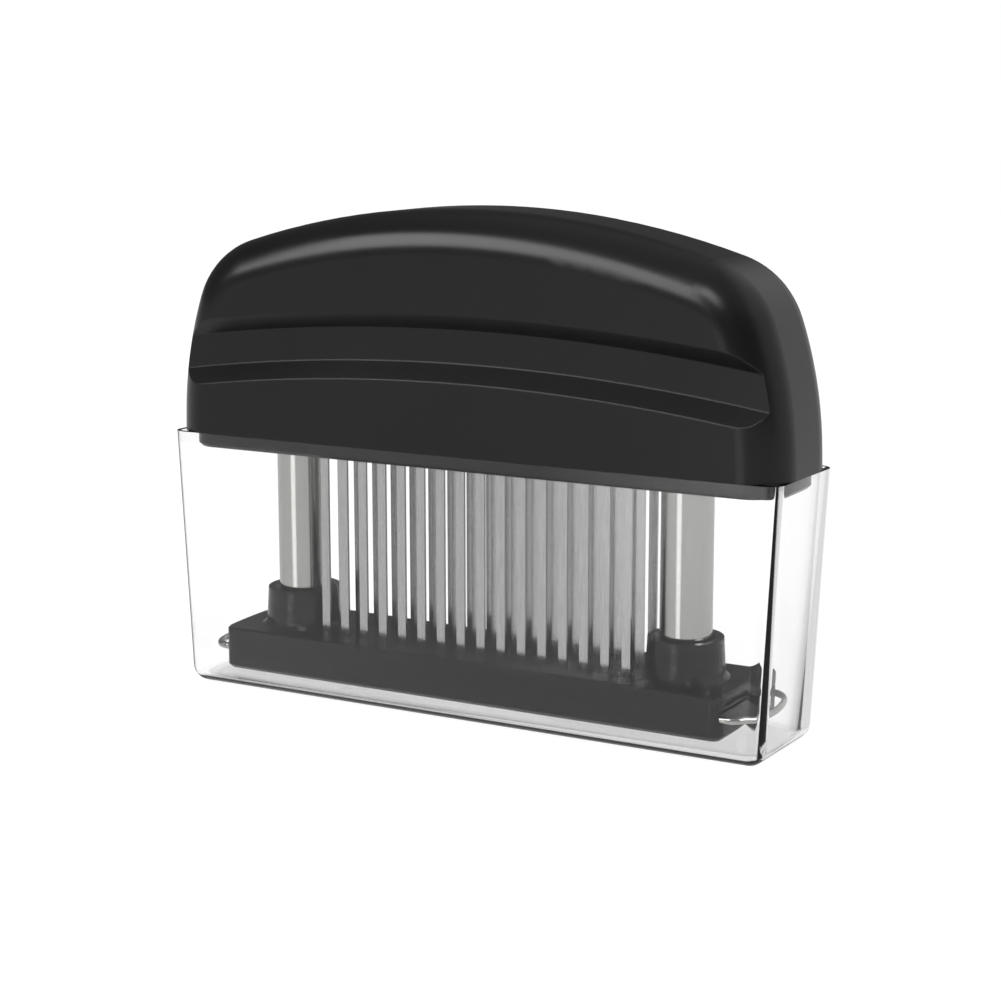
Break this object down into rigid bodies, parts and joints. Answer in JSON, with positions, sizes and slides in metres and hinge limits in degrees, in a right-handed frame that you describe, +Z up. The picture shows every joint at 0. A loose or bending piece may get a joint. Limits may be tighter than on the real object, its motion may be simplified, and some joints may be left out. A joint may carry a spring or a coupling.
{
  "type": "blade meat tenderizer",
  "caption": "Press-down meat tenderizer: a moulded handle drives rows of thin knives through a sprung guard plate on steel posts, standing in a clear cover.",
  "frame": {"origin": "middle of the clear cover's underside, on the surface it stands on", "axes": "+Z up, the way the handle is lifted off; +X along the handle; -Y towards the front face"},
  "size_m": [0.1474, 0.0298, 0.1088],
  "materials": {
    "clear_styrene": "clear polished moulding",
    "black_abs": "satin moulded",
    "grey_abs": "glossy moulded",
    "black_acetal": "moulded",
    "knife_steel": "polished strip",
    "post_steel": "drawn and polished",
    "wire_steel": "drawn wire",
    "spring_steel": "oiled"
  },
  "bodies": {
    "cover": {"clear_cover": "clear_styrene"},
    "handle": {"handle_shell": "black_abs", "carrier_plate": "grey_abs", "cartridge_clamp": "grey_abs", "knife_cartridge_front": "black_acetal", "knife_cartridge_middle": "black_acetal", "knife_cartridge_rear": "black_acetal", "knives_front": "knife_steel", "knives_middle": "knife_steel", "knives_rear": "knife_steel", "springs": "spring_steel"},
    "guard": {"guard_plate": "grey_abs", "post_left": "post_steel", "stop_nut_left": "spring_steel", "post_foot_left": "black_acetal", "wire_clip_left": "wire_steel", "post_right": "post_steel", "stop_nut_right": "spring_steel", "post_foot_right": "black_acetal", "wire_clip_right": "wire_steel"}
  },
  "joints": [
    {"name": "lift_out", "type": "slide", "parent": "cover", "child": "handle", "axis": [0, 0, 1], "range_m": [0, 0.062]},
    {"name": "guard_press", "type": "slide", "parent": "handle", "child": "guard", "axis": [0, 0, 1], "range_m": [0, 0.0308], "stiffness_N_per_m": 700, "springref_m": -0.01, "deforming": ["springs"]}
  ]
}
